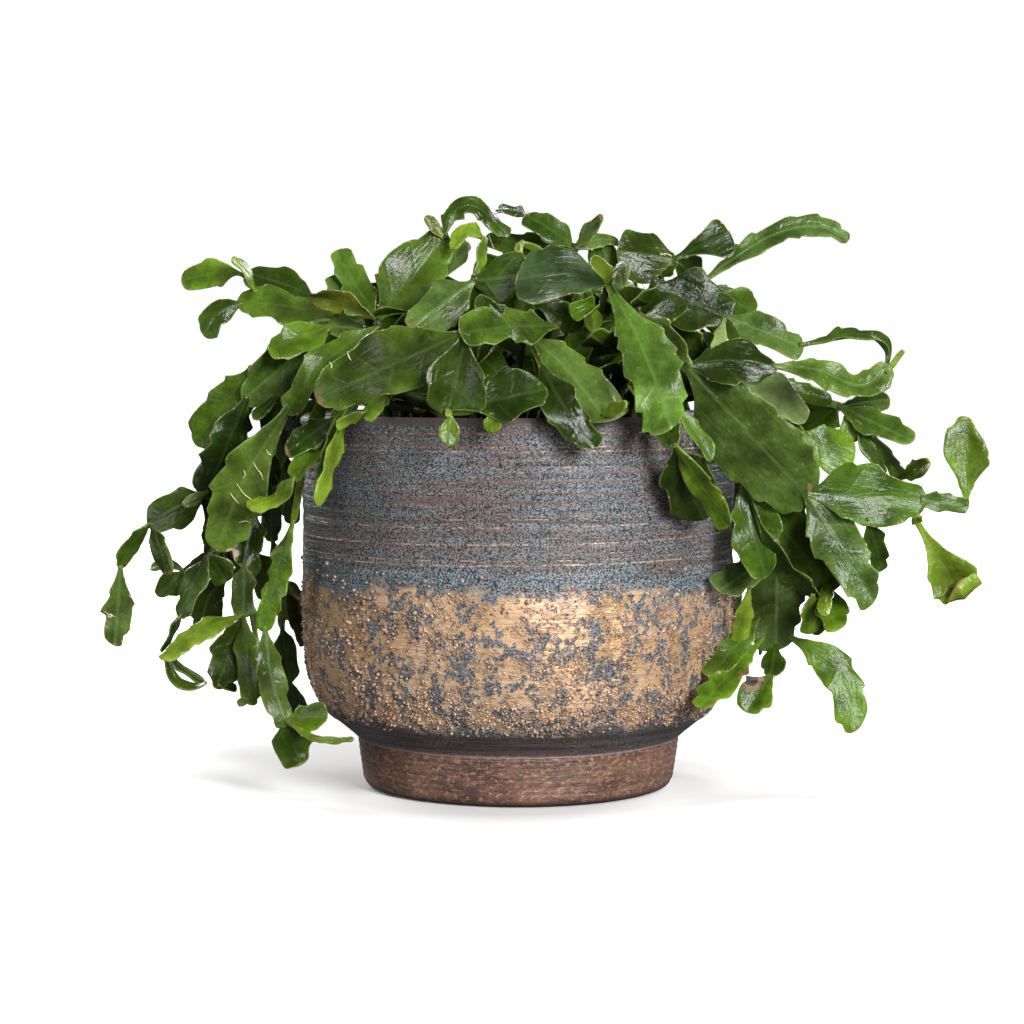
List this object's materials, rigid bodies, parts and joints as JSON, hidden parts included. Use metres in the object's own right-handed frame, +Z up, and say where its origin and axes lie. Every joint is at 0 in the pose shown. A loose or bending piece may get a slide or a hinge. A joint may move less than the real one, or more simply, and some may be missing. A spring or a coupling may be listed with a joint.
{
  "type": "potted mistletoe cactus",
  "caption": "Mistletoe cactus with broad, flat hanging pads, growing in a thin inner pot that stands in a round, footed stoneware planter with a speckled two-tone glaze.",
  "frame": {"origin": "centre of the planter's flat underside", "axes": "+Z up out of the pot, -Y towards the viewer of the front, +X to that viewer's right, along the longest spread of the pads"},
  "size_m": [0.3618, 0.2357, 0.2439],
  "materials": {
    "glaze": "speckled grey-blue reactive glaze over a rough copper-gold band, satin",
    "inner_pot": "thin black moulded plastic",
    "soil": "crumbly dark peat mix",
    "pads": "waxy green living pads with paler midribs and brown-edged tips"
  },
  "bodies": {
    "root": {"back_branch_01": "pads", "back_branch_02": "pads", "back_branch_03": "pads", "back_branch_04": "pads", "back_branch_05": "pads", "back_branch_06": "pads", "back_branch_07": "pads", "back_branch_08": "pads", "back_branch_09": "pads", "centre_fold_branch": "pads", "crown_branch_01": "pads", "crown_branch_02": "pads", "crown_branch_03": "pads", "crown_branch_04": "pads", "crown_branch_05": "pads", "front_centre_branch": "pads", "front_left_branch": "pads", "front_right_branch": "pads", "heart_branch": "pads", "left_behind_branch": "pads", "left_crown_branch": "pads", "left_drape_branch": "pads", "left_front_branch": "pads", "left_inner_tail": "pads", "left_long_branch": "pads", "left_middle_tail": "pads", "left_outer_tail": "pads", "left_rim_branch": "pads", "left_rim_sprig": "pads", "nursery_pot": "inner_pot", "planter_pot": "glaze", "right_bright_branch": "pads", "right_dark_branch": "pads", "right_low_branch": "pads", "right_middle_branch": "pads", "right_over_branch": "pads", "right_tail": "pads", "soil": "soil", "top_branch_01": "pads", "top_branch_02": "pads", "top_branch_03": "pads", "top_pair_branch": "pads", "top_right_branch": "pads"}
  },
  "joints": []
}
